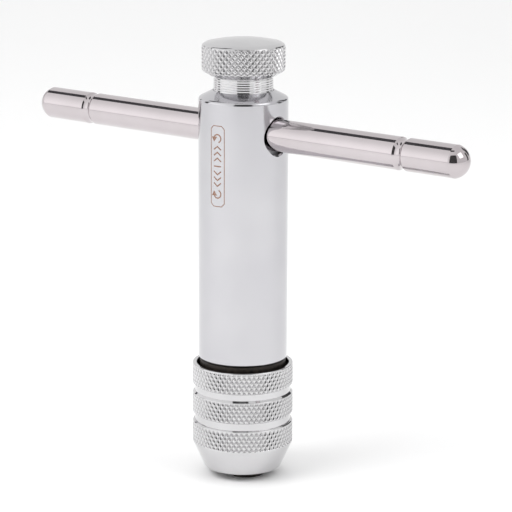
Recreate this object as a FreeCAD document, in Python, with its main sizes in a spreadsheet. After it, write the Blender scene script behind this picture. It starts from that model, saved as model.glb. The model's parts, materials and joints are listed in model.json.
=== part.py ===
import FreeCAD, Part
import math
import os
import re
import Sketcher

# T-handle ratchet tap wrench.  Millimetres.  Origin at the centre of the jaws' lower end, +Z up the
# tool's axis, +X along the sliding T-bar.

doc = FreeCAD.newDocument("tap_wrench")
sheet = doc.addObject("Spreadsheet::Sheet", "dims")

DIMENSIONS = {
    # shared by many parts: broken edges, running clearances and how far a cut overshoots
    "edge_break": 0.3,
    "fine_break": 0.2,
    "fit_gap": 0.05,
    "overshoot": 0.5,
    # handle tube
    "tube_rad": 10.0,
    "tube_bore_rad": 7.8,
    "tube_low": 27.5,
    "tube_rim": 86.8,
    "bore_top": 85.4,
    "shoulder_top": 88.5,
    "neck_hole_rad": 6.75,
    "cross_hole_rad": 4.1,
    "cross_hole_drop": 0.3,
    "cross_hole_bevel": 0.4,
    "bevel_from": 1.2,
    "bevel_to": 0.2,
    "bevel_under": 0.1,
    # sliding T-bar
    "bar_rad": 3.6,
    "bar_half": 60.0,
    "bar_height": 79.3,
    "bar_cap": 2.7,
    "bar_groove_at": 44.2,
    "bar_groove_half": 1.2,
    "bar_groove_deep": 0.45,
    "bar_clear": 0.05,
    # core that guides the bar
    "core_low": 57.0,
    "core_top": 84.2,
    "leg_slot_rad": 6.0,
    "leg_slot_half": 45.0,
    "screw_rad": 2.0,
    "screw_low": 57.6,
    "screw_top": 61.0,
    "screw_socket_rad": 1.15,
    "screw_socket_deep": 1.6,
    "ball_rad": 1.5,
    "small_ball_rad": 0.8,
    "small_ball_at": 4.9,
    "small_ball_height": 83.45,
    "small_hole_low": 78.0,
    "spring_seat_gap": 0.1,
    "big_coil_rad": 1.15,
    "big_wire_rad": 0.2,
    "small_coil_rad": 0.55,
    "small_wire_rad": 0.12,
    # direction selector
    "knob_rad": 9.25,
    "knob_low": 91.5,
    "knurl_low": 92.9,
    "knurl_high": 98.5,
    "knob_edge_rad": 8.45,
    "knob_edge_high": 99.4,
    "knob_top": 100.0,
    "knob_under_step": 2.2,
    "knob_edge_round": 0.9,
    "neck_rad": 6.65,
    "stem_rad": 3.6,
    "stem_top": 95.0,
    "flange_rad": 7.6,
    "flange_low": 84.3,
    "flange_top": 85.35,
    "leg_inner": 6.1,
    "leg_outer": 7.5,
    "leg_half": 14.0,
    "leg_low": 55.85,
    "tab_inner": 7.05,
    "tab_half": 8.0,
    "tab_low": 54.3,
    "roll_pin_rad": 0.75,
    "roll_pin_height": 90.0,
    "roll_pin_near": 1.5,
    "roll_pin_bore_rad": 0.35,
    "dimple_rad": 0.5,
    "dimple_deep": 0.3,
    "ring_low": 48.65,
    "ring_top": 55.8,
    "ring_rad": 7.65,
    "cam_bore_rad": 6.95,
    "cam_offset": 0.325,
    # ratchet
    "wheel_low": 49.35,
    "wheel_high": 54.35,
    "wheel_tip_rad": 4.9,
    "wheel_root_rad": 4.15,
    "teeth": 24.0,
    "tooth_gap_root": 2.4,
    "tooth_gap_mouth": 6.2,
    "tooth_gap_past": 0.3,
    "key_half": 0.6,
    "key_deep": 0.7,
    "key_high": 0.5,
    "pawl_low": 48.65,
    "pawl_top": 54.0,
    "pivot_rad": 5.85,
    "pivot_angle": 107.0,
    "pivot_pin_rad": 0.5,
    "pin_low": 43.0,
    "pin_top": 54.6,
    "pawl_spring_rad": 5.95,
    "spring_strip": 0.25,
    "spring_half_sweep": 42.0,
    "spring_foot_half": 6.0,
    "spring_foot_deep": 2.0,
    "spring_low": 49.65,
    "spring_tall": 3.0,
    # spindle bearings
    "bush_low": 29.2,
    "bush_top": 48.6,
    "washer_top": 49.3,
    "washer_rad": 4.2,
    "snap_low": 28.05,
    "snap_high": 29.1,
    "snap_groove_rad": 8.5,
    "journal_rad": 4.6,
    "stub_rad": 3.0,
    "stub_groove_rad": 2.5,
    "stub_top": 56.3,
    "clip_low": 54.5,
    "clip_high": 55.1,
    "clip_rad": 4.0,
    # chuck spindle
    "collar_rad": 9.7,
    "collar_low": 25.4,
    "collar_top": 27.3,
    "thread_rad": 8.3,
    "thread_pitch": 1.5,
    "thread_deep": 0.6,
    "thread_low": 10.5,
    "prong_low": 4.6,
    "prong_rad": 6.4,
    "slot_half": 4.4,
    "slot_top": 15.1,
    "spindle_bore_rad": 4.1,
    "spindle_bore_top": 24.0,
    # chuck sleeve
    "cone_slope": 0.445,
    "cone_base_rad": 5.55,
    "nose_low": 1.7,
    "nose_rad": 8.6,
    "sleeve_rad": 11.34,
    "nose_high": 7.7,
    "groove_low_at": 14.0,
    "groove_high_at": 20.75,
    "groove_deep": 0.4,
    "groove_half": 0.7,
    "groove_floor_half": 0.45,
    "sleeve_top": 26.2,
    "sleeve_recess_rad": 10.45,
    "sleeve_recess_low": 23.0,
    "sleeve_thread_rad": 8.4,
    "sleeve_thread_low": 13.2,
    "jaw_room_rad": 9.5,
    "seal_low": 21.0,
    "seal_high": 22.3,
    "seal_groove_rad": 9.6,
    "seal_ring_rad": 8.97,
    "seal_wire_rad": 0.6,
    # jaws, each turned about a line set out from the tool's axis
    "jaw_shift": 0.979,
    "jaw_tip_rad": 4.52,
    "jaw_cone_top": 4.7,
    "jaw_back_rad": 6.62,
    "jaw_back_top": 9.4,
    "jaw_shank_rad": 5.12,
    "jaw_top": 15.0,
    "jaw_side": 4.35,
    "jaw_head_top": 4.55,
    "vee_apex": 4.2,
    "vee_top": 10.0,
    "jaw_spring_at": 2.6,
    "jaw_spring_height": 12.6,
    "jaw_spring_hole_rad": 0.75,
    "jaw_spring_hole_deep": 3.0,
    "jaw_coil_rad": 0.5,
    "jaw_wire_rad": 0.12,
    "jaw_cheek_wide": 4.0,
}
for row, (alias, number) in enumerate(DIMENSIONS.items(), 1):
    sheet.set("A%d" % row, alias)
    sheet.set("B%d" % row, str(number))
    sheet.setAlias("B%d" % row, alias)
doc.recompute()

SUBPARTS = []


def sheet_name(expression):
    """The expression with each driving dimension's name spelled out as dims.NAME."""
    def spell(found):
        return ("dims." if found.group() in DIMENSIONS else "") + found.group()
    return re.sub(r"(?<![\w.])[a-z]\w*", spell, expression)


def size(expression):
    return float(sheet.evalExpression(sheet_name(expression)))


def bind(thing, path, expression):
    thing.setExpression(path, sheet_name(expression))


def polar(radius, angle):
    """Across and up expressions of a point at a radius and an angle in degrees."""
    return "(%s)*cos((%s)*1deg)" % (radius, angle), "(%s)*sin((%s)*1deg)" % (radius, angle)


def new_body(label):
    body = doc.addObject("PartDesign::Body", label)
    body.Label = label
    return body


def keep(thing, label):
    thing.Label = label
    SUBPARTS.append(thing)
    return thing


def sketch_on(body, role, away=None, up=None):
    """A sketch on one of the body's own origin planes, moved along its normal or up by an expression."""
    sketch = body.newObject("Sketcher::SketchObject", "sketch")
    plane = [f for f in body.Origin.OriginFeatures if f.Role == role][0]
    sketch.AttachmentSupport = (plane, "")
    sketch.MapMode = "FlatFace"
    if away:
        bind(sketch, ".AttachmentOffset.Base.z", away)
    if up:
        bind(sketch, ".AttachmentOffset.Base.y", up)
    return sketch


def arc_between(start, end, radius, side):
    """The circle arc of a radius from start to end; side +1 turns left.  Returns it and its end order."""
    span = end - start
    middle = (start + end) * 0.5
    rise = math.sqrt(max(radius**2 - (span.Length / 2) ** 2, 0))
    left = FreeCAD.Vector(-span.y, span.x, 0)
    left.normalize()
    centre = middle + left * rise * side
    first, last = (start, end) if side > 0 else (end, start)
    angles = [math.atan2(p.y - centre.y, p.x - centre.x) for p in (first, last)]
    if angles[1] < angles[0]:
        angles[1] += 2 * math.pi
    circle = Part.Circle(centre, FreeCAD.Vector(0, 0, 1), radius)
    return Part.ArcOfCircle(circle, *angles), ((1, 2) if side > 0 else (2, 1))


def outline(sketch, corners, arcs=None):
    """A closed outline.  corners: (across, up) expressions; arcs: corner number to (radius, side)."""
    arcs = arcs or {}
    places = [FreeCAD.Vector(size(x), size(y), 0) for x, y in corners]
    ends = []
    for i, start in enumerate(places):
        end = places[(i + 1) % len(places)]
        if i in arcs:
            radius, side = arcs[i]
            shape, order = arc_between(start, end, size(radius), side)
            geometry = sketch.addGeometry(shape)
            made = sketch.addConstraint(Sketcher.Constraint("Radius", geometry, size(radius)))
            bind(sketch, "Constraints[%d]" % made, radius)
        else:
            geometry = sketch.addGeometry(Part.LineSegment(start, end))
            order = (1, 2)
        ends.append((geometry, order))
    for i, (geometry, order) in enumerate(ends):
        before, order_before = ends[i - 1]
        sketch.addConstraint(Sketcher.Constraint("Coincident", before, order_before[1], geometry, order[0]))
        for kind, expression, line in (("DistanceX", corners[i][0], -2), ("DistanceY", corners[i][1], -1)):
            if expression == "0":
                sketch.addConstraint(Sketcher.Constraint("PointOnObject", geometry, order[0], line))
                continue
            made = sketch.addConstraint(Sketcher.Constraint(kind, geometry, order[0], size(expression)))
            bind(sketch, "Constraints[%d]" % made, expression)
    return sketch


def ring_of_circles(sketch, circles):
    """Circles given as (across, up, radius) expressions."""
    for across, up, radius in circles:
        centre = FreeCAD.Vector(size(across), size(up), 0)
        circle = sketch.addGeometry(Part.Circle(centre, FreeCAD.Vector(0, 0, 1), size(radius)))
        for kind, expression, line in (("DistanceX", across, -2), ("DistanceY", up, -1)):
            if expression == "0":
                sketch.addConstraint(Sketcher.Constraint("PointOnObject", circle, 3, line))
                continue
            made = sketch.addConstraint(Sketcher.Constraint(kind, circle, 3, size(expression)))
            bind(sketch, "Constraints[%d]" % made, expression)
        made = sketch.addConstraint(Sketcher.Constraint("Radius", circle, size(radius)))
        bind(sketch, "Constraints[%d]" % made, radius)
    return sketch


def rectangle(sketch, low, high):
    (x0, y0), (x1, y1) = low, high
    return outline(sketch, [(x0, y0), (x1, y0), (x1, y1), (x0, y1)])


def revolve(body, sketch, axis="V_Axis", angle=360, symmetric=True, kind="Revolution"):
    turn = body.newObject("PartDesign::" + kind, "turn")
    turn.Profile = sketch
    turn.ReferenceAxis = (sketch, [axis])
    turn.Midplane = symmetric
    turn.Angle = angle
    return turn


def turned(label, corners, arcs=None, angle=360, plane="XZ_Plane"):
    """A body turned about its own Z axis, its seam in the given plane."""
    body = new_body(label)
    revolve(body, outline(sketch_on(body, plane), corners, arcs), angle=angle)
    doc.recompute()
    return body


def pad(body, sketch, length, backwards=False):
    block = body.newObject("PartDesign::Pad", "pad")
    block.Profile = sketch
    bind(block, "Length", length)
    block.Reversed = backwards
    doc.recompute()
    return block


def pocket(body, sketch, length=None, backwards=False, both_ways=False):
    """Cuts the sketch out of the body, and stops if that takes nothing away."""
    before = body.Shape.Volume
    hole = body.newObject("PartDesign::Pocket", "pocket")
    hole.Profile = sketch
    hole.Reversed = backwards
    if length:
        bind(hole, "Length", length)
    else:
        hole.Type = "ThroughAll"
    if both_ways:
        hole.SideType = "Symmetric"
    doc.recompute()
    if body.Shape.Volume > before - 1e-4:
        raise SystemExit("a pocket in %s cuts nothing" % body.Label)
    return hole


def around(body, feature, count):
    """The feature repeated about the body's Z axis."""
    pattern = body.newObject("PartDesign::PolarPattern", "around")
    pattern.Originals = [feature]
    axis = [f for f in body.Origin.OriginFeatures if f.Role == "Z_Axis"][0]
    pattern.Axis = (axis, [""])
    pattern.Angle = 360
    pattern.Occurrences = count
    body.Tip = pattern
    doc.recompute()
    return pattern


def sector(inner, outer, middle, half):
    """Corners and arcs of a flat ring sector between two radii, centred on an angle."""
    low, high = "%s-%s" % (middle, half), "%s+%s" % (middle, half)
    corners = [polar(inner, low), polar(outer, low), polar(outer, high), polar(inner, high)]
    return corners, {1: (outer, 1), 3: (inner, -1)}


def coil(label, coil_rad, wire_rad, turns, length, along="Z"):
    """A coil spring that starts at its own origin and runs along Z, or along X."""
    body = new_body(label)
    sketch = sketch_on(body, "XZ_Plane")
    ring_of_circles(sketch, [(coil_rad, "0", wire_rad)])
    helix = body.newObject("PartDesign::AdditiveHelix", "helix")
    helix.Profile = sketch
    helix.ReferenceAxis = (sketch, ["V_Axis"])
    helix.Mode = "height-turns-angle"
    bind(helix, "Height", "%s-2*%s" % (length, wire_rad))
    helix.Turns = turns
    body.Placement.Base = FreeCAD.Vector(0, 0, 0)
    if along == "X":
        body.Placement.Rotation = FreeCAD.Rotation(FreeCAD.Vector(0, 1, 0), 90)
    doc.recompute()
    return body


def handle_body():
    body = turned("handle_body", [
        ("tube_bore_rad", "tube_low"),
        ("tube_rad-edge_break", "tube_low"),
        ("tube_rad", "tube_low+edge_break"),
        ("tube_rad", "tube_rim-edge_break"),
        ("tube_rad-edge_break", "tube_rim"),
        ("neck_hole_rad+0.1", "shoulder_top"),
        ("neck_hole_rad", "shoulder_top"),
        ("neck_hole_rad", "bore_top"),
        ("tube_bore_rad", "bore_top"),
        ("tube_bore_rad", "snap_high+fit_gap"),
        ("snap_groove_rad", "snap_high+fit_gap"),
        ("snap_groove_rad", "snap_low-fit_gap"),
        ("tube_bore_rad", "snap_low-fit_gap"),
    ], plane="YZ_Plane")
    hole = sketch_on(body, "YZ_Plane")
    ring_of_circles(hole, [("0", "bar_height-cross_hole_drop", "cross_hole_rad")])
    pocket(body, hole, both_ways=True)
    for side in (1, -1):
        sink = sketch_on(body, "XZ_Plane", up="bar_height-cross_hole_drop")
        outline(sink, [
            ("%d*(tube_rad-bevel_from)" % side, "0"),
            ("%d*(tube_rad-bevel_from)" % side, "cross_hole_rad-bevel_under"),
            ("%d*(tube_rad+bevel_to)" % side, "cross_hole_rad+cross_hole_bevel+bevel_under"),
            ("%d*(tube_rad+bevel_to)" % side, "0"),
        ])
        revolve(body, sink, axis="H_Axis", kind="Groove")
    return keep(body, "handle_body")


def bar_core():
    body = turned("bar_core", [
        ("screw_rad", "core_low"),
        ("tube_bore_rad-edge_break", "core_low"),
        ("tube_bore_rad", "core_low+edge_break"),
        ("tube_bore_rad", "core_top"),
        ("0", "core_top"),
        ("0", "bar_height"),
        ("ball_rad+2*fit_gap", "bar_height"),
        ("ball_rad+2*fit_gap", "screw_top"),
        ("screw_rad", "screw_top"),
    ])
    bore = sketch_on(body, "YZ_Plane")
    ring_of_circles(bore, [("0", "bar_height", "bar_rad+bar_clear")])
    pocket(body, bore, both_ways=True)
    slot = sketch_on(body, "XY_Plane")
    outline(slot, *sector("leg_slot_rad", "tube_bore_rad+overshoot", "90", "leg_slot_half"))
    around(body, pocket(body, slot, both_ways=True), 2)
    hole = sketch_on(body, "XY_Plane", away="core_top")
    ring_of_circles(hole, [("0", "small_ball_at", "small_ball_rad+fit_gap")])
    pocket(body, hole, "core_top-small_hole_low")
    return keep(body, "bar_core")


def core_set_screw():
    body = turned("core_set_screw", [
        ("0", "screw_low"),
        ("screw_rad-fine_break", "screw_low"),
        ("screw_rad", "screw_low+fine_break"),
        ("screw_rad", "screw_top-fine_break"),
        ("screw_rad-fine_break", "screw_top"),
        ("0", "screw_top"),
    ])
    socket = sketch_on(body, "XY_Plane", away="screw_low")
    outline(socket, [polar("screw_socket_rad", str(60 * i)) for i in range(6)])
    pocket(body, socket, "screw_socket_deep", backwards=True)
    return keep(body, "core_set_screw")


def ball(label, radius, across, height):
    made = doc.addObject("Part::Sphere", label)
    bind(made, "Radius", radius)
    made.Placement = FreeCAD.Placement()
    bind(made, ".Placement.Base.y", across)
    bind(made, ".Placement.Base.z", height)
    return keep(made, label)


def detent_springs():
    # each spring starts a wire's radius above its seat, as its helix starts at its wire's centre
    big = coil("tbar_detent_spring", "big_coil_rad", "big_wire_rad", 6,
               "bar_height-bar_rad-2*ball_rad-spring_seat_gap-screw_top")
    bind(big, ".Placement.Base.z", "screw_top+big_wire_rad")
    keep(big, "tbar_detent_spring")
    small = coil("selector_detent_spring", "small_coil_rad", "small_wire_rad", 6,
                 "small_ball_height-small_ball_rad-spring_seat_gap-small_hole_low")
    bind(small, ".Placement.Base.y", "small_ball_at")
    bind(small, ".Placement.Base.z", "small_hole_low+small_wire_rad")
    keep(small, "selector_detent_spring")


def t_bar():
    body = new_body("t_bar")
    sketch = sketch_on(body, "XZ_Plane", up="bar_height")
    corners = [("-bar_half", "0"), ("bar_half", "0"), ("bar_half-bar_cap", "bar_rad")]
    cap_rad = "(bar_rad^2+bar_cap^2)/(2*bar_cap)"
    groove_rad = "(bar_groove_half^2+bar_groove_deep^2)/(2*bar_groove_deep)"
    arcs = {1: (cap_rad, 1)}
    for place in ("bar_groove_at", "-bar_groove_at"):
        arcs[len(corners)] = (groove_rad, -1)
        corners.append((place + "+bar_groove_half", "bar_rad"))
        corners.append((place + "-bar_groove_half", "bar_rad"))
    corners.append(("-bar_half+bar_cap", "bar_rad"))
    arcs[len(corners) - 1] = (cap_rad, 1)
    revolve(body, outline(sketch, corners, arcs), axis="H_Axis")
    return keep(body, "t_bar")


def selector_knob():
    body = turned("selector_knob", [
        ("stem_rad", "flange_top"),
        ("neck_rad", "flange_top"),
        ("neck_rad", "knob_low"),
        ("knob_rad-knob_under_step", "knob_low"),
        ("knob_rad", "knurl_low"),
        ("knob_rad", "knurl_high"),
        ("knob_edge_rad", "knob_edge_high"),
        ("0", "knob_top"),
        ("0", "stem_top"),
        ("stem_rad", "stem_top"),
    ], {5: ("knob_edge_round", 1),
        6: ("(knob_edge_rad^2+(knob_top-knob_edge_high)^2)/(2*(knob_top-knob_edge_high))", 1)})
    hole = sketch_on(body, "XZ_Plane", away="-roll_pin_near")
    ring_of_circles(hole, [("0", "roll_pin_height", "roll_pin_rad")])
    pocket(body, hole, "knob_rad")
    return keep(body, "selector_knob")


def selector_fork():
    body = turned("selector_fork", [
        ("0", "flange_low"),
        ("flange_rad", "flange_low"),
        ("flange_rad", "flange_top"),
        ("stem_rad", "flange_top"),
        ("stem_rad", "stem_top"),
        ("0", "stem_top"),
    ])
    leg = sketch_on(body, "XY_Plane", away="leg_low")
    outline(leg, *sector("leg_inner", "leg_outer", "90", "leg_half"))
    around(body, pad(body, leg, "flange_low-leg_low"), 2)
    tab = sketch_on(body, "XY_Plane", away="tab_low")
    outline(tab, *sector("tab_inner", "leg_outer", "90", "tab_half"))
    around(body, pad(body, tab, "leg_low-tab_low"), 2)
    hole = sketch_on(body, "XZ_Plane", away="-roll_pin_near")
    ring_of_circles(hole, [("0", "roll_pin_height", "roll_pin_rad")])
    pocket(body, hole, "stem_rad")
    for angle in (60, 90, 120):
        dimple = sketch_on(body, "XY_Plane", away="flange_low")
        across, up = polar("small_ball_at", str(angle))
        ring_of_circles(dimple, [(across, up, "dimple_rad")])
        pocket(body, dimple, "dimple_deep", backwards=True)
    return keep(body, "selector_fork")


def knob_roll_pin():
    body = new_body("knob_roll_pin")
    sketch = sketch_on(body, "XZ_Plane", away="-neck_rad+2*fit_gap")
    ring_of_circles(sketch, [
        ("0", "roll_pin_height", "roll_pin_rad"),
        ("0", "roll_pin_height", "roll_pin_bore_rad"),
    ])
    pad(body, sketch, "neck_rad-2*fit_gap-roll_pin_near")
    return keep(body, "knob_roll_pin")


def selector_cam_ring():
    body = new_body("selector_cam_ring")
    sketch = sketch_on(body, "XY_Plane", away="ring_low")
    ring_of_circles(sketch, [("0", "0", "ring_rad"), ("cam_offset", "0", "cam_bore_rad")])
    pad(body, sketch, "ring_top-ring_low")
    notch = sketch_on(body, "XY_Plane", away="ring_top")
    outline(notch, *sector("cam_bore_rad-overshoot", "ring_rad+overshoot", "90", "(tab_half+edge_break)"))
    around(body, pocket(body, notch, "ring_top-tab_low"), 2)
    return keep(body, "selector_cam_ring")


def ratchet_wheel():
    body = new_body("ratchet_wheel")
    disc = sketch_on(body, "XY_Plane", away="wheel_low")
    ring_of_circles(disc, [("0", "0", "wheel_tip_rad"), ("0", "0", "stub_rad")])
    pad(body, disc, "wheel_high-wheel_low")
    gap = sketch_on(body, "XY_Plane", away="wheel_high")
    middle = "180/teeth"
    outline(gap, [
        polar("wheel_root_rad", middle + "-tooth_gap_root"),
        polar("wheel_tip_rad+tooth_gap_past", middle + "-tooth_gap_mouth"),
        polar("wheel_tip_rad+tooth_gap_past", middle + "+tooth_gap_mouth"),
        polar("wheel_root_rad", middle + "+tooth_gap_root"),
    ])
    around(body, pocket(body, gap, "wheel_high-wheel_low"), int(size("teeth")))
    keyway = sketch_on(body, "XY_Plane", away="wheel_high")
    rectangle(keyway, ("overshoot", "-key_half"), ("stub_rad+key_high", "key_half"))
    pocket(body, keyway, "wheel_high-wheel_low")
    return keep(body, "ratchet_wheel")


def pawl(label, side):
    """A pawl round its own pivot; side +1 stands at the pivot angle, -1 is its mirror image."""
    body = new_body(label)
    pivot = "%d*pivot_angle" % side
    points = [
        ("wheel_tip_rad-0.28", "36.7"), ("wheel_tip_rad+0.35", "38.9"), ("wheel_tip_rad+0.85", "39.6"),
        ("pivot_rad", "27"), ("pivot_rad+0.3", "14"), ("pivot_rad+0.74", "3"), ("pivot_rad+0.76", "-3"),
        ("cam_bore_rad-0.1", "-15"), ("cam_bore_rad-0.15", "-21"), ("wheel_tip_rad+0.6", "-21"),
        ("wheel_tip_rad+0.22", "-8"), ("wheel_tip_rad+0.22", "8"), ("wheel_tip_rad+0.36", "25"),
        ("wheel_tip_rad+0.42", "31.9"), ("wheel_tip_rad-0.28", "34.3"),
    ]
    sketch = sketch_on(body, "XY_Plane", away="pawl_low")
    outline(sketch, [polar(r, "%s+%d*(%s)" % (pivot, side, a)) for r, a in points])
    pad(body, sketch, "pawl_top-pawl_low")
    hole = sketch_on(body, "XY_Plane", away="pawl_top")
    across, up = polar("pivot_rad", pivot)
    ring_of_circles(hole, [(across, up, "pivot_pin_rad+0.03")])
    pocket(body, hole, "pawl_top-pawl_low")
    return keep(body, label)


def pawl_pins():
    pins = []
    for side in (1, -1):
        pin = doc.addObject("Part::Cylinder", "pawl_pin")
        bind(pin, "Radius", "pivot_pin_rad")
        bind(pin, "Height", "pin_top-pin_low")
        across, up = polar("pivot_rad", "%d*pivot_angle" % side)
        bind(pin, ".Placement.Base.x", across)
        bind(pin, ".Placement.Base.y", up)
        bind(pin, ".Placement.Base.z", "pin_low")
        pins.append(pin)
    pair = doc.addObject("Part::Compound", "pawl_pins")
    pair.Links = pins
    return keep(pair, "pawl_pins")


def pawl_spring():
    body = new_body("pawl_spring")
    strip = sketch_on(body, "XY_Plane", away="spring_low")
    outline(strip, *sector("pawl_spring_rad", "pawl_spring_rad+spring_strip", "180", "spring_half_sweep"))
    pad(body, strip, "spring_tall")
    foot = sketch_on(body, "XY_Plane", away="bush_top-spring_foot_deep")
    outline(foot, *sector("pawl_spring_rad", "pawl_spring_rad+spring_strip", "180", "spring_foot_half"))
    pad(body, foot, "2*spring_foot_deep")
    return keep(body, "pawl_spring")


def lower_bush():
    body = turned("lower_bush", [
        ("journal_rad+fit_gap", "bush_low"),
        ("tube_bore_rad-edge_break", "bush_low"),
        ("tube_bore_rad", "bush_low+edge_break"),
        ("tube_bore_rad", "bush_top"),
        ("journal_rad+fit_gap", "bush_top"),
    ])
    holes = sketch_on(body, "XY_Plane", away="bush_top")
    places = [polar("pivot_rad", "%d*pivot_angle" % side) for side in (1, -1)]
    ring_of_circles(holes, [(x, y, "pivot_pin_rad") for x, y in places])
    pocket(body, holes, "bush_top-pin_low")
    slot = sketch_on(body, "XY_Plane", away="bush_top")
    outline(slot, *sector("pawl_spring_rad", "pawl_spring_rad+spring_strip", "180", "spring_foot_half"))
    pocket(body, slot, "spring_foot_deep")
    return keep(body, "lower_bush")


def snap_rings():
    gap_turn = 310
    inner = turned("bush_retaining_ring", [
        ("tube_bore_rad-0.9", "snap_low"),
        ("snap_groove_rad-fit_gap", "snap_low"),
        ("snap_groove_rad-fit_gap", "snap_high"),
        ("tube_bore_rad-0.9", "snap_high"),
    ], angle=gap_turn)
    keep(inner, "bush_retaining_ring")
    outer = turned("spindle_retaining_ring", [
        ("stub_groove_rad", "clip_low"),
        ("clip_rad", "clip_low"),
        ("clip_rad", "clip_high"),
        ("stub_groove_rad", "clip_high"),
    ], angle=gap_turn)
    keep(outer, "spindle_retaining_ring")


def thrust_washer():
    body = turned("thrust_washer", [
        ("stub_rad+2*fit_gap", "bush_top"),
        ("washer_rad", "bush_top"),
        ("washer_rad", "washer_top"),
        ("stub_rad+2*fit_gap", "washer_top"),
    ])
    return keep(body, "thrust_washer")


def wheel_key():
    body = new_body("wheel_key")
    sketch = sketch_on(body, "XY_Plane", away="wheel_low")
    rectangle(sketch, ("stub_rad-key_deep", "-key_half"), ("stub_rad+key_high", "key_half"))
    pad(body, sketch, "wheel_high-wheel_low")
    return keep(body, "wheel_key")


def chuck_spindle():
    corners = [
        ("0", "spindle_bore_top"),
        ("spindle_bore_rad", "spindle_bore_top-2"),
        ("spindle_bore_rad", "prong_low"),
        ("prong_rad", "prong_low"),
        ("thread_rad", "prong_low+(thread_rad-prong_rad)/cone_slope"),
    ]
    for turn in range(7):
        start = "thread_low+%d*thread_pitch" % turn
        corners.append(("thread_rad", start))
        corners.append(("thread_rad-thread_deep", start + "+thread_pitch/2"))
    corners += [
        ("thread_rad", "thread_low+7*thread_pitch"),
        ("thread_rad", "collar_low"),
        ("collar_rad-fine_break", "collar_low"),
        ("collar_rad", "collar_low+fine_break"),
        ("collar_rad", "collar_top-fine_break"),
        ("collar_rad-fine_break", "collar_top"),
        ("journal_rad", "collar_top"),
        ("journal_rad", "bush_top-fit_gap"),
        ("stub_rad", "bush_top-fit_gap"),
        ("stub_rad", "clip_low"),
        ("stub_groove_rad", "clip_low"),
        ("stub_groove_rad", "clip_high"),
        ("stub_rad", "clip_high"),
        ("stub_rad", "stub_top"),
        ("0", "stub_top"),
    ]
    body = turned("chuck_spindle", corners)
    slot = sketch_on(body, "YZ_Plane")
    rectangle(slot, ("-slot_half", "prong_low-overshoot"), ("slot_half", "slot_top"))
    pocket(body, slot, both_ways=True)
    keyway = sketch_on(body, "XY_Plane", away="wheel_high")
    rectangle(keyway, ("stub_rad-key_deep", "-key_half"), ("stub_rad+overshoot", "key_half"))
    pocket(body, keyway, "wheel_high-wheel_low")
    return keep(body, "chuck_spindle")


def sleeve_groove(middle):
    """Corners of one plain V groove between two knurled bands."""
    return [
        ("sleeve_rad", middle + "-groove_half"),
        ("sleeve_rad-groove_deep", middle + "-groove_floor_half"),
        ("sleeve_rad-groove_deep", middle + "+groove_floor_half"),
        ("sleeve_rad", middle + "+groove_half"),
    ]


def chuck_sleeve():
    corners = [
        ("cone_base_rad+cone_slope*nose_low", "nose_low"),
        ("nose_rad-fine_break", "nose_low"),
        ("nose_rad", "nose_low+fine_break"),
        ("sleeve_rad", "nose_high"),
    ]
    corners += sleeve_groove("groove_low_at") + sleeve_groove("groove_high_at")
    corners += [
        ("sleeve_rad", "sleeve_top-edge_break"),
        ("sleeve_rad-edge_break", "sleeve_top"),
        ("sleeve_recess_rad", "sleeve_top"),
        ("sleeve_recess_rad", "sleeve_recess_low"),
        ("sleeve_thread_rad", "sleeve_recess_low"),
        ("sleeve_thread_rad", "seal_high"),
        ("seal_groove_rad", "seal_high"),
        ("seal_groove_rad", "seal_low"),
        ("sleeve_thread_rad", "seal_low"),
        ("sleeve_thread_rad", "sleeve_thread_low"),
        ("jaw_room_rad", "sleeve_thread_low"),
        ("jaw_room_rad", "(jaw_room_rad-cone_base_rad)/cone_slope"),
    ]
    return keep(turned("chuck_sleeve", corners), "chuck_sleeve")


def sleeve_o_ring():
    ring = doc.addObject("Part::Torus", "sleeve_o_ring")
    bind(ring, "Radius1", "seal_ring_rad")
    bind(ring, "Radius2", "seal_wire_rad")
    bind(ring, ".Placement.Base.z", "(seal_low+seal_high)/2")
    return keep(ring, "sleeve_o_ring")


def jaw(label, side):
    """A jaw turned about its own axis, cut back to a half round; side +1 stands at +X."""
    body = new_body(label)
    profile = outline(sketch_on(body, "XZ_Plane"), [
        ("0", "0"),
        ("jaw_tip_rad-edge_break", "0"),
        ("jaw_tip_rad", "edge_break"),
        ("jaw_tip_rad+cone_slope*(jaw_cone_top-edge_break)", "jaw_cone_top"),
        ("jaw_back_rad", "jaw_cone_top+edge_break"),
        ("jaw_back_rad", "jaw_back_top"),
        ("jaw_shank_rad", "jaw_back_top"),
        ("jaw_shank_rad", "jaw_top"),
        ("0", "jaw_top"),
    ])
    revolve(body, profile, angle=180)
    doc.recompute()
    for edge in ("jaw_side", "-jaw_side-jaw_cheek_wide"):
        cheek = sketch_on(body, "YZ_Plane")
        rectangle(cheek, (edge, "jaw_head_top"), (edge + "+jaw_cheek_wide", "jaw_top+overshoot"))
        pocket(body, cheek, both_ways=True)
    vee = sketch_on(body, "XY_Plane")
    apex = "(vee_apex-jaw_shift)"
    outline(vee, [
        ("-overshoot", "-%s-overshoot" % apex),
        (apex, "0"),
        ("-overshoot", "%s+overshoot" % apex),
    ])
    pocket(body, vee, "vee_top", backwards=True)
    holes = sketch_on(body, "YZ_Plane")
    ring_of_circles(holes, [
        (sign + "jaw_spring_at", "jaw_spring_height", "jaw_spring_hole_rad") for sign in ("", "-")
    ])
    pocket(body, holes, "jaw_spring_hole_deep", backwards=True)
    bind(body, ".Placement.Base.x", "%d*jaw_shift" % side)
    if side < 0:
        body.Placement.Rotation = FreeCAD.Rotation(FreeCAD.Vector(0, 0, 1), 180)
    return keep(body, label)


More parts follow.
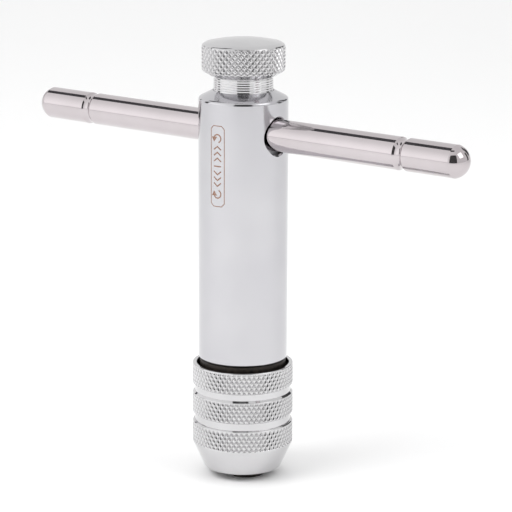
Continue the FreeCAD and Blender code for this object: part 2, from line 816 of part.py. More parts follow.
def jaw_springs():
    springs = []
    for side in (1, -1):
        spring = coil("jaw_spring", "jaw_coil_rad", "jaw_wire_rad", 9,
                      "2*(jaw_shift+jaw_spring_hole_deep-spring_seat_gap)", along="X")
        bind(spring, ".Placement.Base.x", "-(jaw_shift+jaw_spring_hole_deep-spring_seat_gap)+jaw_wire_rad")
        bind(spring, ".Placement.Base.y", "%d*jaw_spring_at" % side)
        bind(spring, ".Placement.Base.z", "jaw_spring_height")
        springs.append(spring)
    pair = doc.addObject("Part::Compound", "jaw_springs")
    pair.Links = springs
    return keep(pair, "jaw_springs")


handle_body()
bar_core()
core_set_screw()
ball("tbar_detent_ball", "ball_rad", "0", "bar_height-bar_rad-ball_rad-0.02")
ball("selector_detent_ball", "small_ball_rad", "small_ball_at", "small_ball_height")
detent_springs()
t_bar()
selector_knob()
selector_fork()
knob_roll_pin()
selector_cam_ring()
ratchet_wheel()
pawl("pawl_right", 1)
pawl("pawl_left", -1)
pawl_pins()
pawl_spring()
lower_bush()
snap_rings()
thrust_washer()
wheel_key()
chuck_spindle()
chuck_sleeve()
sleeve_o_ring()
jaw("jaw_right", 1)
jaw("jaw_left", -1)
jaw_springs()
doc.recompute()

for thing in doc.Objects:
    if "Invalid" in thing.State or "Error" in thing.State:
        raise SystemExit("%s (%s) is %s" % (thing.Name, thing.Label, thing.State))
for subpart in SUBPARTS:
    shape = subpart.Shape
    if shape.isNull() or not shape.isValid():
        raise SystemExit(subpart.Label + " has no valid shape")

os.makedirs("parts", exist_ok=True)
for subpart in SUBPARTS:
    subpart.Shape.exportStep(os.path.join("parts", subpart.Label + ".step"))
    box = subpart.Shape.BoundBox
    print("%-24s solids %d volume %8.1f  z %.2f to %.2f" % (
        subpart.Label, len(subpart.Shape.Solids), subpart.Shape.Volume, box.ZMin, box.ZMax))
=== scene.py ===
import json
import math

import bpy
import numpy as np
from mathutils import Matrix, Vector


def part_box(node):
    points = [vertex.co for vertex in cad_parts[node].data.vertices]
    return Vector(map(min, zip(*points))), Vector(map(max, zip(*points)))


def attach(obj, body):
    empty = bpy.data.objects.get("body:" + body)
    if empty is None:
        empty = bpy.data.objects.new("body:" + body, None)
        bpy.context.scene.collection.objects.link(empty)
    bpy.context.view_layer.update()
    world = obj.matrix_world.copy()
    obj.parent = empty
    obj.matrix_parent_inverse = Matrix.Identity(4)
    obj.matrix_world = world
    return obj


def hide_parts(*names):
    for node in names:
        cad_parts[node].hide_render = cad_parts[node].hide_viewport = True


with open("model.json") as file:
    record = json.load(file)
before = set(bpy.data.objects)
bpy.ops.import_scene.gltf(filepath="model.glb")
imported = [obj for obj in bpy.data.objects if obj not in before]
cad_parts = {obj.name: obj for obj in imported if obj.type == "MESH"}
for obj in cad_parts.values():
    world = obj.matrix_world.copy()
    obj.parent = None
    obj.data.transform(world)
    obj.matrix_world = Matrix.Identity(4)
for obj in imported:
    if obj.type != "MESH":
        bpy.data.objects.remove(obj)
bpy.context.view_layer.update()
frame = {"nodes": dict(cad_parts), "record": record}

MM = 0.001
TURN = 2 * math.pi

# ---------------------------------------------------------------- where the frame's parts are

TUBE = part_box("handle_body")
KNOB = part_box("selector_knob")
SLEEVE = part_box("chuck_sleeve")
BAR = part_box("t_bar")
TUBE_RAD = TUBE[1][0]
TUBE_LOW = TUBE[0][2]
TUBE_TOP = TUBE[1][2]
KNOB_RAD = KNOB[1][0]
KNOB_LOW = KNOB[0][2]
KNOB_TOP = KNOB[1][2]
SLEEVE_RAD = SLEEVE[1][0]
SLEEVE_LOW = SLEEVE[0][2]
SLEEVE_TOP = SLEEVE[1][2]
BAR_HALF = BAR[1][0]
BAR_RAD = BAR[1][1]
BAR_HEIGHT = (BAR[0][2] + BAR[1][2]) / 2


# ---------------------------------------------------------------- mesh helpers

def rounded(corners, default=0.12 * MM, steps=4, guard=0.05 * MM):
    """An open outline with its corners rounded.  A corner is (across, up) or (across, up, radius).

    Each rounding has a guard point just outside it, so that long flats keep their own normals."""
    points = [Vector(corners[0][:2])]
    for before, corner, after in zip(corners, corners[1:], corners[2:]):
        here = Vector(corner[:2])
        radius = corner[2] if len(corner) > 2 else default
        back, ahead = Vector(before[:2]) - here, Vector(after[:2]) - here
        cut = min(radius, 0.42 * back.length, 0.42 * ahead.length)
        back.normalize()
        ahead.normalize()
        if cut < 1e-7:
            points.append(here)
            continue
        points.append(here + back * (cut + min(guard, cut)))
        for k in range(steps + 1):
            t = k / steps
            points.append(here + back * cut * (1 - t) ** 2 + ahead * cut * t**2)
        points.append(here + ahead * (cut + min(guard, cut)))
    points.append(Vector(corners[-1][:2]))
    return points


def fine(points, low, high, step):
    """The outline with extra points where it runs between two heights."""
    out = [points[0]]
    for a, b in zip(points, points[1:]):
        middle = (a.y + b.y) / 2
        count = max(1, math.ceil((b - a).length / step)) if low < middle < high else 1
        out += [a.lerp(b, k / count) for k in range(1, count + 1)]
    return out


def arc(centre, radius, start, end, count):
    """Points on a circle's arc between two angles."""
    angles = [start + (end - start) * k / count for k in range(count + 1)]
    return [Vector((centre[0] + radius * math.cos(a), centre[1] + radius * math.sin(a))) for a in angles]


def new_object(name, vertices, faces, smooth=True):
    mesh = bpy.data.meshes.new(name)
    mesh.from_pydata(vertices, [], faces)
    mesh.update()
    if smooth:
        mesh.polygons.foreach_set("use_smooth", [True] * len(mesh.polygons))
    made = bpy.data.objects.new(name, mesh)
    bpy.context.scene.collection.objects.link(made)
    return made


def lathe(name, outline, segments, relief=None, closed=False, along="Z", height=0.0):
    """The outline (radius, distance along the axis) turned round Z, or round X at a height.

    relief(radius, up, angle) gives how far each point is cut inwards.  It is kept on the mesh as "pit",
    from 0 on the surface to 1 at the bottom of the deepest groove."""
    radius = np.array([p[0] for p in outline])[:, None]
    up = np.array([p[1] for p in outline])[:, None]
    angle = (np.arange(segments) * TURN / segments)[None, :]
    distance = np.broadcast_to(radius, (len(outline), segments)).copy()
    pits = np.zeros_like(distance)
    if relief:
        pits += relief(radius, up, angle)
    distance -= pits
    rise = np.broadcast_to(up, distance.shape)
    a, b = distance * np.cos(angle), distance * np.sin(angle)
    grid = np.stack([a, b, rise] if along == "Z" else [rise, a, b + height], -1)
    vertices, depths, rows = [], [], []
    for k, place in enumerate(outline):
        if place[0] < 1e-9:
            rows.append([len(vertices)] * segments)
            vertices.append(grid[k, 0].tolist())
            depths.append(0.0)
        else:
            rows.append(list(range(len(vertices), len(vertices) + segments)))
            vertices += grid[k].tolist()
            depths += pits[k].tolist()
    faces = []
    pairs = list(zip(rows, rows[1:])) + ([(rows[-1], rows[0])] if closed else [])
    for low, high in pairs:
        for i in range(segments):
            j = (i + 1) % segments
            face = [low[i], low[j], high[j], high[i]]
            faces.append(list(dict.fromkeys(face)))
    made = new_object(name, vertices, [f for f in faces if len(f) > 2])
    outwards(made)
    if relief:
        pit = made.data.attributes.new("pit", "FLOAT", "POINT")
        pit.data.foreach_set("value", np.array(depths) / max(depths))
    return made


def outwards(thing):
    """Turns a closed mesh's faces to look outwards."""
    mesh = thing.data
    mesh.calc_loop_triangles()
    places = np.array([v.co for v in mesh.vertices])
    corners = np.array([t.vertices for t in mesh.loop_triangles])
    a, b, c = places[corners[:, 0]], places[corners[:, 1]], places[corners[:, 2]]
    if np.einsum("ij,ij->i", a, np.cross(b, c)).sum() < 0:
        mesh.flip_normals()


CUT_SHARP_DEG = 28


def cut(thing, tool):
    """Takes the tool's shape out of the thing for good, and keeps its edges crisp."""
    modifier = thing.modifiers.new("cut", "BOOLEAN")
    modifier.object = tool
    modifier.operation = "DIFFERENCE"
    modifier.solver = "EXACT"
    graph = bpy.context.evaluated_depsgraph_get()
    result = bpy.data.meshes.new_from_object(thing.evaluated_get(graph))
    thing.modifiers.clear()
    thing.data = result
    bpy.data.objects.remove(tool)
    result.polygons.foreach_set("use_smooth", [True] * len(result.polygons))
    result.set_sharp_from_angle(angle=math.radians(CUT_SHARP_DEG))


# ---------------------------------------------------------------- knurling

RELIEF_FROM = 0.86            # knurling is cut only outside this share of the part's largest radius


def groove_depth(phase, land):
    """0 on a diamond's flat top and 1 at the bottom of the V groove, for a phase in groove pitches."""
    reach = np.abs(2 * (phase - np.floor(phase)) - 1)
    return np.clip((reach - land) / (1 - land), 0, 1)


def knurl(bands, count, rise, depth, land=0.22, fade=0.22 * MM):
    """Two crossing sets of V grooves, count of each round the part, between the bands' heights."""
    def relief(radius, up, angle):
        around = angle * count / TURN
        groove = np.maximum(groove_depth(around + up / rise, land), groove_depth(around - up / rise, land))
        share = np.zeros_like(up)
        for low, high in bands:
            inside = np.clip(np.minimum(up - low, high - up) / fade, 0, 1)
            share = np.maximum(share, inside)
        outer = radius > radius.max() * RELIEF_FROM
        return groove * share * outer * depth
    return relief


# ---------------------------------------------------------------- materials

def material(name, colour, metallic, roughness):
    made = bpy.data.materials.new(name)
    made.use_nodes = True
    nodes, links = made.node_tree.nodes, made.node_tree.links
    shader = nodes["Principled BSDF"]
    shader.inputs["Base Color"].default_value = (*colour, 1)
    shader.inputs["Metallic"].default_value = metallic
    shader.inputs["Roughness"].default_value = roughness
    return made, nodes, links, shader


def object_place(nodes, links, scale):
    place = nodes.new("ShaderNodeTexCoord")
    mapping = nodes.new("ShaderNodeMapping")
    mapping.inputs["Scale"].default_value = scale
    links.new(place.outputs["Object"], mapping.inputs["Vector"])
    return mapping.outputs["Vector"]


def noise(nodes, links, scale, stretch=(1, 1, 1), detail=4.0):
    made = nodes.new("ShaderNodeTexNoise")
    made.inputs["Scale"].default_value = scale
    made.inputs["Detail"].default_value = detail
    links.new(object_place(nodes, links, stretch), made.inputs["Vector"])
    return made.outputs["Fac"]


def spread(nodes, links, source, low, high, from_low=0.3, from_high=0.7):
    """The source's range between two values carried over to low and high, and held there."""
    made = nodes.new("ShaderNodeMapRange")
    limits = {"From Min": from_low, "From Max": from_high, "To Min": low, "To Max": high}
    for socket, number in limits.items():
        made.inputs[socket].default_value = number
    links.new(source, made.inputs["Value"])
    return made.outputs["Result"]


def tint(nodes, links, source, low, high):
    """A colour that goes from low to high with the source."""
    ramp = nodes.new("ShaderNodeValToRGB")
    ramp.color_ramp.elements[0].color = (*low, 1)
    ramp.color_ramp.elements[0].position = 0.3
    ramp.color_ramp.elements[1].color = (*high, 1)
    ramp.color_ramp.elements[1].position = 0.7
    links.new(source, ramp.inputs["Fac"])
    return ramp.outputs["Color"]


def bump(nodes, links, shader, source, distance, strength):
    made = nodes.new("ShaderNodeBump")
    made.inputs["Distance"].default_value = distance
    made.inputs["Strength"].default_value = strength
    links.new(source, made.inputs["Height"])
    links.new(made.outputs["Normal"], shader.inputs["Normal"])


def shade_pits(nodes, links, colour, darkest):
    """The colour, darker towards the bottom of the knurl's grooves: painted shade in the grooves."""
    depth = nodes.new("ShaderNodeAttribute")
    depth.attribute_name = "pit"
    scaled = nodes.new("ShaderNodeVectorMath")
    scaled.operation = "SCALE"
    links.new(colour, scaled.inputs[0])
    links.new(spread(nodes, links, depth.outputs["Fac"], 1.0, darkest, 0.25, 1.0), scaled.inputs["Scale"])
    return scaled.outputs["Vector"]


def plated(name, low, high, rough_low, rough_high, stretch, pits=1.0):
    """Plated metal: its colour and gloss drift slightly, and its polishing marks run along one way.

    Below 1, pits is the share of the colour that is left at the bottom of a knurl's groove, as painted shade
    there."""
    made, nodes, links, shader = material(name, high, 1.0, rough_low)
    drift = noise(nodes, links, 90, detail=3)
    marks = noise(nodes, links, 900, stretch=stretch, detail=5)
    colour = tint(nodes, links, drift, low, high)
    # painted shade: the colour is darkened towards the bottom of the knurl's grooves
    if pits < 1:
        colour = shade_pits(nodes, links, colour, pits)
    links.new(colour, shader.inputs["Base Color"])
    links.new(spread(nodes, links, marks, rough_low, rough_high), shader.inputs["Roughness"])
    return made


def dark_oxide(name):
    """Black oxide on steel: nearly black, a little brown, with a faint oily sheen."""
    made, nodes, links, shader = material(name, (0.02, 0.017, 0.015), 0.55, 0.4)
    spots = noise(nodes, links, 1400, detail=6)
    colour = tint(nodes, links, spots, (0.011, 0.010, 0.010), (0.045, 0.034, 0.027))
    links.new(colour, shader.inputs["Base Color"])
    links.new(spread(nodes, links, spots, 0.30, 0.55), shader.inputs["Roughness"])
    bump(nodes, links, shader, spots, 0.02 * MM, 0.25)
    return made


def machined(name, low, high):
    """Bare turned steel or bronze with fine tool marks round the axis."""
    made, nodes, links, shader = material(name, high, 1.0, 0.3)
    marks = noise(nodes, links, 500, stretch=(0.2, 0.2, 9), detail=5)
    links.new(tint(nodes, links, marks, low, high), shader.inputs["Base Color"])
    links.new(spread(nodes, links, marks, 0.22, 0.42), shader.inputs["Roughness"])
    bump(nodes, links, shader, marks, 0.02 * MM, 0.3)
    return made


def rubber(name):
    made, nodes, links, shader = material(name, (0.02, 0.02, 0.021), 0.0, 0.6)
    grain = noise(nodes, links, 2500)
    links.new(spread(nodes, links, grain, 0.5, 0.75), shader.inputs["Roughness"])
    bump(nodes, links, shader, grain, 0.02 * MM, 0.4)
    return made


def etched(name):
    """The brown, matt etched line of the direction mark."""
    made, nodes, links, shader = material(name, (0.32, 0.17, 0.12), 0.4, 0.55)
    grain = noise(nodes, links, 3000)
    links.new(tint(nodes, links, grain, (0.23, 0.12, 0.085), (0.40, 0.24, 0.17)), shader.inputs["Base Color"])
    return made


MATERIALS = {
    "body_chrome": plated(
        "body_chrome", low=(0.56, 0.555, 0.58), high=(0.60, 0.595, 0.615),
        rough_low=0.09, rough_high=0.15, stretch=(1, 1, 0.05)),
    # pits=0.6 paints shade into the bottoms of the knurl's grooves
    "knurl_chrome": plated(
        "knurl_chrome", low=(0.62, 0.615, 0.625), high=(0.685, 0.68, 0.69),
        rough_low=0.05, rough_high=0.10, stretch=(0.3, 0.3, 3), pits=0.6),
    "bar_nickel": plated(
        "bar_nickel", low=(0.56, 0.517, 0.53), high=(0.60, 0.554, 0.57),
        rough_low=0.04, rough_high=0.08, stretch=(0.05, 1, 1)),
    "black_oxide": dark_oxide("black_oxide"),
    "machined_steel": machined("machined_steel", (0.36, 0.36, 0.37), (0.52, 0.52, 0.53)),
    "spring_steel": machined("spring_steel", (0.22, 0.21, 0.20), (0.40, 0.39, 0.38)),
    "bronze": machined("bronze", (0.40, 0.26, 0.13), (0.60, 0.42, 0.22)),
    "seal_rubber": rubber("seal_rubber"),
}
MARK = etched("etched_mark")


def finish_cad_nodes():
    """Gives each of the frame's nodes the material of its slot."""
    for row in frame["record"]["subparts"]:
        mesh = frame["nodes"][row["node"]].data
        for k in range(max(1, len(mesh.materials))):
            if len(mesh.materials) <= k:
                mesh.materials.append(None)
            mesh.materials[k] = MATERIALS[row["material_slot"]]


def dress(piece, body, slot, *nodes):
    """Gives a piece its material, the body it rides on and the nodes that it stands in for."""
    piece.data.materials.clear()
    piece.data.materials.append(MATERIALS[slot])
    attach(piece, body)
    if nodes:
        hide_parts(*nodes)
    return piece


# ---------------------------------------------------------------- the pieces

NECK_HOLE = 6.75 * MM
BORE = 7.8 * MM
SHOULDER_DROP = 1.7 * MM      # from the top of the shoulder's cone down to the tube's rim
HOLE_RAD = 4.1 * MM
HOLE_DROP = 0.3 * MM          # the cross hole's axis below the bar's
HOLE_BEVEL = 0.4 * MM
SLEEVE_SLOPE = 0.445          # how far the sleeve's inner cone widens for each step up

# grooves of one hand round the part, and the height over which they move round by one groove
KNOB_KNURLS = 40
KNOB_RISE = 1.6 * MM
SLEEVE_KNURLS = 62
SLEEVE_RISE = 1.75 * MM


def tube():
    """The body: a tube with a coned shoulder, a neck hole and a cross hole with broken edges."""
    rim = TUBE_TOP - SHOULDER_DROP
    ceiling = TUBE_TOP - 3.1 * MM
    seam = TUBE_LOW + 5 * MM      # where the closed outline starts and ends, inside the bore
    outline = rounded([
        (BORE, seam),
        (BORE, TUBE_LOW, 0.1 * MM),
        (TUBE_RAD, TUBE_LOW, 0.35 * MM),
        (TUBE_RAD, rim, 0.5 * MM),
        (NECK_HOLE, TUBE_TOP, 0.12 * MM),
        (NECK_HOLE, ceiling),
        (BORE, ceiling),
        (BORE, seam),
    ])[:-1]
    body = lathe("handle_tube", outline, 288, closed=True)
    level = BAR_HEIGHT - HOLE_DROP
    reach = TUBE_RAD + 2 * MM
    flare = HOLE_RAD + HOLE_BEVEL + 2 * MM
    tool = lathe("hole_cutter", [
        (0, -reach), (flare, -reach), (HOLE_RAD, -TUBE_RAD + HOLE_BEVEL),
        (HOLE_RAD, TUBE_RAD - HOLE_BEVEL), (flare, reach), (0, reach),
    ], 96, along="X", height=level)
    cut(body, tool)
    return dress(body, "handle", "body_chrome", "handle_body")


def cross_bar():
    """The sliding bar: domed ends, and a shallow round groove near each for the sprung ball."""
    groove_at, groove_half, groove_deep = 44.2 * MM, 1.2 * MM, 0.45 * MM
    groove_edge_deg = 14
    cap = 2.7 * MM
    ball = (BAR_RAD**2 + cap**2) / (2 * cap)
    cap_turn = math.asin(BAR_RAD / ball)
    trough = (groove_half**2 + groove_deep**2) / (2 * groove_deep)
    trough_turn = math.asin(groove_half / trough)

    def half(side):
        end = side * (BAR_HALF - ball)
        dome = [
            Vector((ball * math.sin(a), end + side * ball * math.cos(a)))
            for a in (cap_turn * k / 14 for k in range(15))
        ]
        level = BAR_RAD - groove_deep + trough
        dip = [
            Vector((level - trough * math.cos(a), side * (groove_at - trough * math.sin(a))))
            for a in (trough_turn * (k / 6 - 1) for k in range(13))
        ]
        edge = Vector((BAR_RAD, side * (BAR_HALF - cap - 0.15 * MM)))
        lips = [Vector((BAR_RAD, side * (groove_at + s * (groove_half + 0.12 * MM)))) for s in (1, -1)]
        return dome + [edge, lips[0]] + dip + [lips[1]]

    outline = half(1) + half(-1)[::-1]
    bar = lathe("cross_bar", outline, 128, along="X", height=BAR_HEIGHT)
    bar.data.set_sharp_from_angle(angle=math.radians(groove_edge_deg))
    return dress(bar, "cross_bar", "bar_nickel", "t_bar")


def knob():
    """The direction knob: a domed, knurled head on a neck with fine turned rings."""
    neck, stem = 6.65 * MM, 3.6 * MM
    stem_top = KNOB_LOW + 9.5 * MM
    under = KNOB_TOP - 8.5 * MM
    low, high = KNOB_TOP - 7.1 * MM, KNOB_TOP - 1.7 * MM
    ring_half, ring_deep = 0.12 * MM, 0.05 * MM
    rings = []
    for k in range(6):
        level = TUBE_TOP + (0.08 + 0.53 * k) * MM
        rings += [
            (neck, level, 0), (neck - ring_deep, level + ring_half, ring_deep),
            (neck, level + 2 * ring_half, 0),
        ]
    crown_edge = 8.45 * MM
    crown_rise = 1.0 * MM
    crown = (crown_edge**2 + crown_rise**2) / (2 * crown_rise)
    cap = [
        Vector((crown * math.sin(a), KNOB_TOP - crown + crown * math.cos(a)))
        for a in (math.asin(crown_edge / crown) * (1 - k / 12) for k in range(13))
    ]
    side = rounded(
        [(stem, stem_top), (stem, KNOB_LOW), (neck, KNOB_LOW)]
        + rings
        + [(neck, under, 0.15 * MM), (KNOB_RAD - 2.2 * MM, under, 0.2 * MM),
           (KNOB_RAD, low, 0.5 * MM), (KNOB_RAD, high, 0.25 * MM),
           (KNOB_RAD - 0.18 * MM, high + 0.35 * MM, 0.3 * MM), tuple(cap[0])]
    )
    outline = [Vector((0, stem_top))] + fine(side, low - 0.1 * MM, high, 0.1 * MM) + cap[1:]
    pattern = knurl([(low - 0.35 * MM, high + 0.1 * MM)], KNOB_KNURLS, KNOB_RISE, 0.33 * MM, land=0.45)
    head = lathe("direction_knob", outline, 560, relief=pattern)
    return dress(head, "selector", "knurl_chrome", "selector_knob")


def sleeve():
    """The chuck sleeve: three knurled bands, two plain grooves, a coned nose and the chuck's inner steps."""
    nose_end, nose = 8.6 * MM, SLEEVE_LOW + 6.0 * MM
    grooves = [SLEEVE_LOW + 12.3 * MM, SLEEVE_LOW + 19.05 * MM]
    deep, half, floor = 0.45 * MM, 0.7 * MM, 0.45 * MM
    ledge, chamfers = 1.44 * MM, [0.24 * MM, deep]
    cone_start = 5.55 * MM        # the inner cone's radius carried down to the floor
    mouth = cone_start + SLEEVE_SLOPE * SLEEVE_LOW
    recess, thread, relieved, seam = 10.45 * MM, 8.4 * MM, 9.5 * MM, 7.5 * MM
    seal_rad, seal_top, seal_low = 9.6 * MM, 0.7 * MM, 2.0 * MM
    thread_low = SLEEVE_LOW + 11.5 * MM
    cone_top = (relieved - cone_start) / SLEEVE_SLOPE
    outer = [(nose_end, SLEEVE_LOW, 0.55 * MM), (SLEEVE_RAD, nose, 0.3 * MM)]
    for level, chamfer in zip(grooves, chamfers):
        outer += [
            (SLEEVE_RAD, level - ledge, 0.05 * MM),
            (SLEEVE_RAD - chamfer, level - ledge + chamfer, 0.05 * MM),
            (SLEEVE_RAD - deep - 0.03 * MM, level - ledge + chamfer, 0.05 * MM),
            (SLEEVE_RAD - deep, level + floor, 0.1 * MM), (SLEEVE_RAD, level + half, 0.08 * MM),
        ]
    lip = SLEEVE_TOP - 3.2 * MM
    inner = [
        (SLEEVE_RAD, SLEEVE_TOP, 0.25 * MM), (recess, SLEEVE_TOP, 0.15 * MM), (recess, lip),
        (thread, lip), (thread, lip - seal_top), (seal_rad, lip - seal_top), (seal_rad, lip - seal_low),
        (thread, lip - seal_low), (thread, thread_low), (relieved, thread_low),
        (relieved, cone_top), (mouth, SLEEVE_LOW, 0.2 * MM), (seam, SLEEVE_LOW),
    ]
    edge = 0.28 * MM
    bands = [
        (nose + 0.2 * MM, grooves[0] - ledge - edge / 2),
        (grooves[0] + half - edge / 3, grooves[1] - ledge - edge / 2),
        (grooves[1] + half - edge / 3, SLEEVE_TOP - edge),
    ]
    side = rounded([(seam, SLEEVE_LOW)] + outer + inner)
    last = next(k for k, p in enumerate(side) if p.y > SLEEVE_TOP - 1e-7)
    outline = fine(side[:last], nose, SLEEVE_TOP, 0.1 * MM) + side[last:-1]
    pattern = knurl(bands, SLEEVE_KNURLS, SLEEVE_RISE, 0.27 * MM, land=0.48)
    made = lathe("knurled_sleeve", outline, 744, relief=pattern, closed=True)
    return dress(made, "sleeve", "knurl_chrome", "chuck_sleeve")


MARK_TURN_DEG = 4.3           # from the tube's front round to the mark's middle
MITRE_LIMIT = 0.35


def on_tube(across, up, lift):
    """The place on the tube's front at an arc length from the mark's middle, and at a height."""
    angle = math.radians(MARK_TURN_DEG - 90) + across / TUBE_RAD
    return ((TUBE_RAD + lift) * math.cos(angle), (TUBE_RAD + lift) * math.sin(angle), up)


def ribbon(path, width, closed):
    """Outer and inner rails of a flat line along a path, with mitred corners."""
    count = len(path)
    rails = []
    for k, place in enumerate(path):
        before = path[k - 1] if closed or k else place
        after = path[(k + 1) % count] if closed or k < count - 1 else place
        ways = [(place - before), (after - place)]
        ways = [w.normalized() for w in ways if w.length > 1e-9]
        normals = [Vector((-w.y, w.x)) for w in ways]
        middle = sum(normals, Vector((0, 0))).normalized()
        reach = width / 2 / max(MITRE_LIMIT, middle.dot(normals[0]))
        rails.append((place + middle * reach, place - middle * reach))
    return rails


def fine_path(path, closed, step=0.25 * MM):
    """The path with points close enough together to follow the tube's curve."""
    ends = path[1:] + path[:1] if closed else path[1:]
    made = []
    for start, end in zip(path, ends):
        count = max(1, math.ceil((end - start).length / step))
        made += [start.lerp(end, k / count) for k in range(count)]
    return made if closed else made + [path[-1]]


def direction_mark():
    """A plain etched frame with a turn arrow to each side and a bar for the locked position between them."""
    middle = TUBE_TOP - 15.8 * MM
    half_wide, half_tall, clip = 1.75 * MM, 9.0 * MM, 0.7 * MM
    frame_line, sign_line = 0.18 * MM, 0.28 * MM
    lift, sunk = 0.012 * MM, -0.05 * MM
    corners = [(1, 1), (-1, 1), (-1, -1), (1, -1)]
    frame_path = []
    for k, (sx, sy) in enumerate(corners):
        ends = [
            Vector((sx * (half_wide - clip), sy * half_tall)),
            Vector((sx * half_wide, sy * (half_tall - clip))),
        ]
        frame_path += ends[::-1] if k % 2 == 0 else ends
    paths = [(frame_path, True, frame_line)]
    wing = Vector((0.95 * MM, 0))
    for side in (1, -1):
        point = Vector((0, side * 0.75 * MM))
        centre = Vector((0, side * 6.2 * MM))
        bend = 0.9 * MM
        sweep = arc(centre, bend, side * math.radians(-70), side * math.radians(190), 22)
        tip = sweep[-1] + Vector((0, side * -0.35 * MM))
        head = [tip + Vector((-0.4 * MM, side * 0.75 * MM)), tip, tip + Vector((0.55 * MM, side * 0.75 * MM))]
        paths += [(sweep, False, sign_line), (head, True, sign_line)]
        for step in (3.7 * MM, 2.4 * MM, 1.1 * MM):
            back = Vector((0, side * step))
            paths.append(([back - wing, back + point, back + wing], False, sign_line))
    paths.append(([-wing, wing], False, sign_line))
    vertices, faces = [], []
    for path, closed, line in paths:
        rails = ribbon(fine_path([Vector(p) for p in path], closed), line, closed)
        start = len(vertices)
        for rail in rails:
            for level in (lift, sunk):
                vertices += [on_tube(p.x, middle + p.y, level) for p in rail]
        links = len(rails) if closed else len(rails) - 1
        for k in range(links):
            a, b = start + 4 * k, start + 4 * ((k + 1) % len(rails))
            faces += [(a, a + 1, b + 1, b), (a + 2, b + 2, b + 3, a + 3), (a, b, b + 2, a + 2),
                      (a + 1, a + 3, b + 3, b + 1)]
        if not closed:
            a, b = start, start + 4 * links
            faces += [(a, a + 2, a + 3, a + 1), (b, b + 1, b + 3, b + 2)]
    mark = new_object("direction_mark", vertices, faces, smooth=False)
    mark.data.materials.append(MARK)
    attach(mark, "handle")


# ---------------------------------------------------------------- studio

def card(name, centre, across, up, colour, seen=False):
    """A flat studio card at a place, given by its two half sides, seen directly or only in the metal."""
    centre, across, up = Vector(centre), Vector(across), Vector(up)
    corners = [centre - across - up, centre + across - up, centre + across + up, centre - across + up]
    made = new_object(name, corners, [(0, 1, 2, 3)], smooth=False)
    plain, nodes, links, shader = material(name, colour, 0.0, 0.9)
    made.data.materials.append(plain)
    made.visible_camera = seen


def direction(azimuth, elevation):
    """The unit vector at an azimuth from the front towards the right, and an elevation, in degrees."""
    a, e = math.radians(azimuth), math.radians(elevation)
    return Vector((math.sin(a) * math.cos(e), -math.cos(a) * math.cos(e), math.sin(e)))


VIEW_AZIMUTH = 38.64
VIEW_ELEVATION = 13.17
VIEW_DISTANCE = 0.573
VIEW_ROLL = 0.2
VIEW_LENS = 179.3
AIM_ACROSS = 2.91 * MM
AIM_HEIGHT = 50.6 * MM


# name, azimuth, elevation, distance, size, power, aimed at the tool (or straight down), seen in the metal
LIGHTS = (
    ("key", VIEW_AZIMUTH - 60, 50, 1.2, 0.6, 3.5, True, False),
    ("fill", VIEW_AZIMUTH + 60, 40, 1.2, 0.6, 1.5, True, True),
    ("top", VIEW_AZIMUTH, 90, 0.7, 1.0, 1.45, False, False),
    ("pool_front", VIEW_AZIMUTH, 35, 0.55, 0.25, 0.16, False, False),
    ("pool_left", VIEW_AZIMUTH - 70, 45, 0.31, 0.1, 0.04, False, False),
    ("pool_right", VIEW_AZIMUTH + 60, 45, 0.31, 0.1, 0.04, False, False),
)
CARD_DISTANCE = 0.9
DARK = (0.05, 0.05, 0.05)


def white_tent():
    """A white world that is brightest low down in front of the cross bar."""
    world = bpy.data.worlds.new("studio")
    bpy.context.scene.world = world
    world.use_nodes = True
    nodes, links = world.node_tree.nodes, world.node_tree.links
    nodes["Background"].inputs["Color"].default_value = (1, 1, 1, 1)
    place = nodes.new("ShaderNodeTexCoord")
    facing = nodes.new("ShaderNodeVectorMath")
    facing.operation = "DOT_PRODUCT"
    facing.inputs[1].default_value = direction(-37, 0)
    links.new(place.outputs["Generated"], facing.inputs[0])
    share = spread(nodes, links, facing.outputs["Value"], 0.0, 1.0, 0.5, 1.0)
    squared = nodes.new("ShaderNodeMath")
    squared.operation = "MULTIPLY"
    links.new(share, squared.inputs[0])
    links.new(share, squared.inputs[1])
    total = nodes.new("ShaderNodeMath")
    links.new(spread(nodes, links, facing.outputs["Value"], 0.82, 0.98, -0.3, 0.5), total.inputs[0])
    links.new(spread(nodes, links, squared.outputs["Value"], 0.0, 0.44, 0.0, 1.0), total.inputs[1])
    links.new(total.outputs["Value"], nodes["Background"].inputs["Strength"])


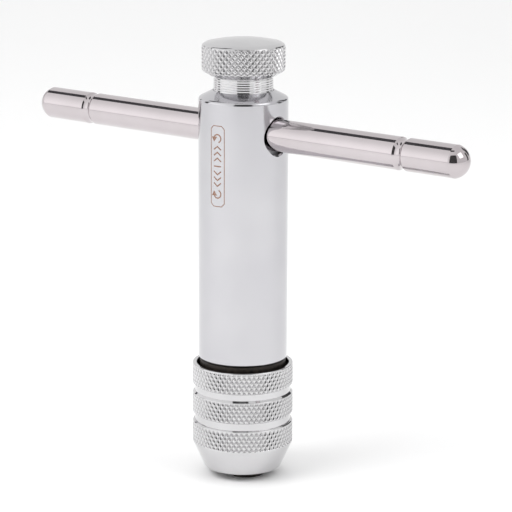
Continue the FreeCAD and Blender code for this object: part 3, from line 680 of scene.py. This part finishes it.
def studio():
    """A pale floor, dark cards for the metal to mirror, the white world and the lamps."""
    card("floor", (0, 0, 0), (4, 0, 0), (0, 4, 0), (0.96, 0.96, 0.96), seen=True)
    front = direction(VIEW_AZIMUTH, 0)
    across = Vector((math.cos(math.radians(VIEW_AZIMUTH)), math.sin(math.radians(VIEW_AZIMUTH)), 0))
    card("overhead_gap", (-0.55, 0.06, 0.75), (0.25, 0, 0), (0, 0.15, 0), (0.07, 0.07, 0.075))
    lens = direction(VIEW_AZIMUTH, 77) * 0.75 - across * 0.04
    card("lens_gap", lens, across * 0.15, front * 0.06, (0.02, 0.02, 0.02))
    card("camera_gap", front * 0.8 + Vector((0, 0, 0.49)), across * 0.36, (0, 0, 0.45), DARK)
    # name, azimuth from the view, half width, middle height, half height, colour
    uprights = (
        ("side_gap_left", -108, 0.11, 0.33, 0.27, (0.06, 0.06, 0.06)),
        ("side_gap_right", 108, 0.11, 0.33, 0.27, (0.06, 0.06, 0.06)),
        ("back_gap_right", 143, 0.1, 0.25, 0.13, (0.04, 0.04, 0.05)),
        ("back_gap_left", -143, 0.04, 0.25, 0.13, (0.04, 0.04, 0.05)),
    )
    for name, turn, wide, level, tall, colour in uprights:
        way = direction(VIEW_AZIMUTH + turn, 0)
        place = way * CARD_DISTANCE + Vector((0, 0, level))
        card(name, place, way.cross(Vector((0, 0, 1))) * wide, (0, 0, tall), colour)
    way = direction(VIEW_AZIMUTH + 132, 27)
    sideways = way.cross(Vector((0, 0, 1))).normalized()
    card("rim_gap", way * CARD_DISTANCE, sideways * 0.13, sideways.cross(way) * 0.25, DARK)
    white_tent()
    for name, azimuth, elevation, distance, size, power, aimed, mirrored in LIGHTS:
        light = bpy.data.lights.new(name, "AREA")
        light.shape = "SQUARE"
        light.size = size
        light.energy = power
        lamp = bpy.data.objects.new(name, light)
        bpy.context.scene.collection.objects.link(lamp)
        way = direction(azimuth, elevation)
        lamp.location = way * distance
        lamp.rotation_euler = way.to_track_quat("Z", "Y").to_euler() if aimed else (0, 0, 0)
        lamp.visible_glossy = mirrored
    bpy.context.scene.view_settings.view_transform = "Standard"


def camera():
    """A long lens a little above the tool, looking slightly down."""
    back = direction(VIEW_AZIMUTH, VIEW_ELEVATION)
    right = Vector((math.cos(math.radians(VIEW_AZIMUTH)), math.sin(math.radians(VIEW_AZIMUTH)), 0))
    up = back.cross(right)
    aim = right * AIM_ACROSS + Vector((0, 0, AIM_HEIGHT))
    roll = math.radians(VIEW_ROLL)
    across = right * math.cos(roll) + up * math.sin(roll)
    upward = up * math.cos(roll) - right * math.sin(roll)
    data = bpy.data.cameras.new("view")
    data.lens = VIEW_LENS
    data.sensor_width = 36
    data.clip_start = 0.01
    data.clip_end = 50
    made = bpy.data.objects.new("view", data)
    bpy.context.scene.collection.objects.link(made)
    made.matrix_world = Matrix((
        (across.x, upward.x, back.x, (aim + back * VIEW_DISTANCE).x),
        (across.y, upward.y, back.y, (aim + back * VIEW_DISTANCE).y),
        (across.z, upward.z, back.z, (aim + back * VIEW_DISTANCE).z),
        (0, 0, 0, 1),
    ))
    bpy.context.scene.camera = made


finish_cad_nodes()
tube()
cross_bar()
knob()
sleeve()
direction_mark()
studio()
camera()
